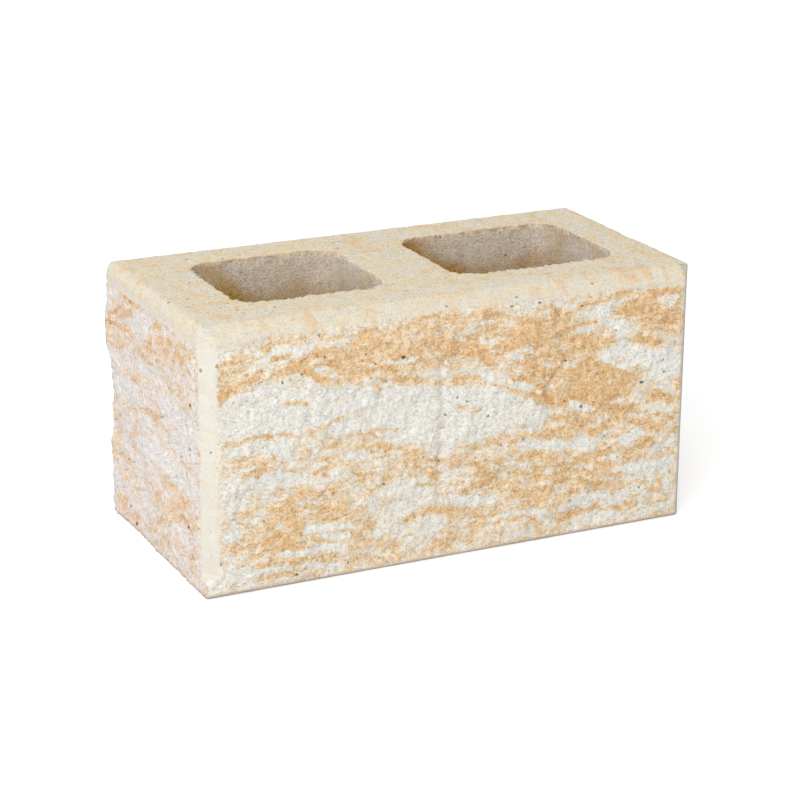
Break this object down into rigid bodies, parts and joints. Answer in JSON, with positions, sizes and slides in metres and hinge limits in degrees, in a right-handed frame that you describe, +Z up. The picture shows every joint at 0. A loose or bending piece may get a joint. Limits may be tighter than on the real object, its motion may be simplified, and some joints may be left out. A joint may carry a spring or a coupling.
{
  "type": "split-face concrete block",
  "caption": "Hollow concrete building block with rough split front and left end, moulded chamfered corners, bevelled top edges and two rounded through cells.",
  "frame": {"origin": "on the floor under the middle of the block's bounding box", "axes": "+X along the length towards the moulded right end, +Y towards the moulded rear face so that the split front looks to -Y, +Z up along the cells"},
  "size_m": [0.4, 0.2, 0.2],
  "materials": {
    "concrete": "rough, through-coloured white and sand marbling, split faces granular, moulded faces fine and matt"
  },
  "bodies": {
    "root": {"block": "concrete"}
  },
  "joints": []
}
